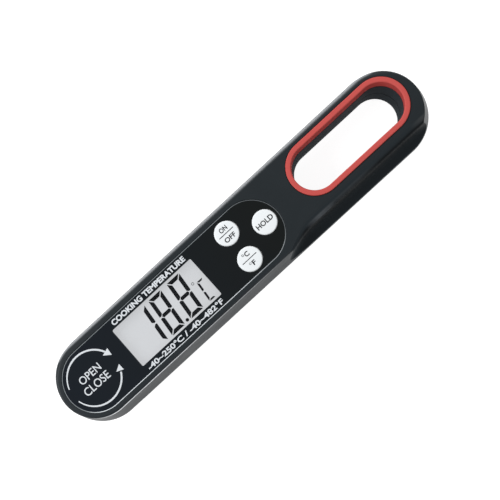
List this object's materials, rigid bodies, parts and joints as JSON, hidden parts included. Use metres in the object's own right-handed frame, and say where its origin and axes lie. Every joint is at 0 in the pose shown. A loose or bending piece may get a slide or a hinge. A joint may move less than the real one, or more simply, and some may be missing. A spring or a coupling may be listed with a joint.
{
  "type": "folding probe thermometer",
  "caption": "Folding digital meat thermometer with a long round-ended handle, a display, push buttons, a red-trimmed hanging slot and a steel probe that swings out of a side slot.",
  "frame": {"origin": "middle of the flat back the thermometer lies on, halfway along its length and width", "axes": "+X along the handle from the probe's hub to the hanging slot, +Y across the handle away from the probe's slot, +Z out of the display"},
  "size_m": [0.1644, 0.032, 0.0186],
  "materials": {
    "black_case": "fine satin moulded ABS",
    "gloss_panel": "high gloss black with a printed outline",
    "red_trim": "smooth matte coral red",
    "white_button": "smooth white with printed legends",
    "clear_lens": "clear polished window",
    "display_glass": "grey liquid crystal display",
    "ceramic": "fired ceramic chip",
    "board_green": "green solder mask",
    "black_resin": "glossy epoxy blob",
    "grey_silicone": "soft matte silicone",
    "polished_steel": "polished stainless steel",
    "screw_steel": "plated screw steel",
    "brass_bush": "turned",
    "wire_sleeve": "red wire insulation",
    "sensor_bead": "epoxy coated bead"
  },
  "bodies": {
    "handle": {"board_lead": "wire_sleeve", "board_screw_1": "screw_steel", "board_screw_2": "screw_steel", "board_screw_3": "screw_steel", "case_screw_1": "screw_steel", "case_screw_2": "screw_steel", "circuit_board": "board_green", "coin_cell": "polished_steel", "contact_strip_lower": "grey_silicone", "contact_strip_upper": "grey_silicone", "controller_chip": "black_resin", "display_module": "display_glass", "display_window": "clear_lens", "faceplate": "gloss_panel", "filter_capacitor": "ceramic", "friction_washer": "polished_steel", "front_cover": "black_case", "front_pivot_bush": "brass_bush", "keypad": "grey_silicone", "minus_contact": "polished_steel", "pivot_screw": "screw_steel", "plus_contact": "polished_steel", "quartz_crystal": "polished_steel", "rear_cover": "black_case", "rear_pivot_bush": "brass_bush", "trim_ring": "red_trim"},
    "probe": {"probe_hub": "black_case", "hub_cap": "black_case", "probe_stem": "polished_steel", "temperature_sensor": "sensor_bead", "probe_lead": "wire_sleeve"},
    "power_button": {"power_button": "white_button"},
    "unit_button": {"unit_button": "white_button"},
    "hold_button": {"hold_button": "white_button"},
    "battery_door": {"battery_door": "black_case", "door_seal": "grey_silicone"}
  },
  "joints": [
    {"name": "probe_hinge", "type": "hinge", "parent": "handle", "child": "probe", "pos_m": [-0.0661, 0, 0.0062], "axis": [0, 0, 1], "range_deg": [-180, 0]},
    {"name": "power_press", "type": "slide", "parent": "handle", "child": "power_button", "axis": [0, 0, -1], "range_m": [0, 0.0005], "stiffness_N_per_m": 1500, "springref_m": -0.0005},
    {"name": "unit_press", "type": "slide", "parent": "handle", "child": "unit_button", "axis": [0, 0, -1], "range_m": [0, 0.0005], "stiffness_N_per_m": 1500, "springref_m": -0.0005},
    {"name": "hold_press", "type": "slide", "parent": "handle", "child": "hold_button", "axis": [0, 0, -1], "range_m": [0, 0.0005], "stiffness_N_per_m": 1500, "springref_m": -0.0005},
    {"name": "battery_door_twist", "type": "hinge", "parent": "handle", "child": "battery_door", "pos_m": [-0.002, 0.0023, 0], "axis": [0, 0, 1], "range_deg": [-41, 0]}
  ]
}
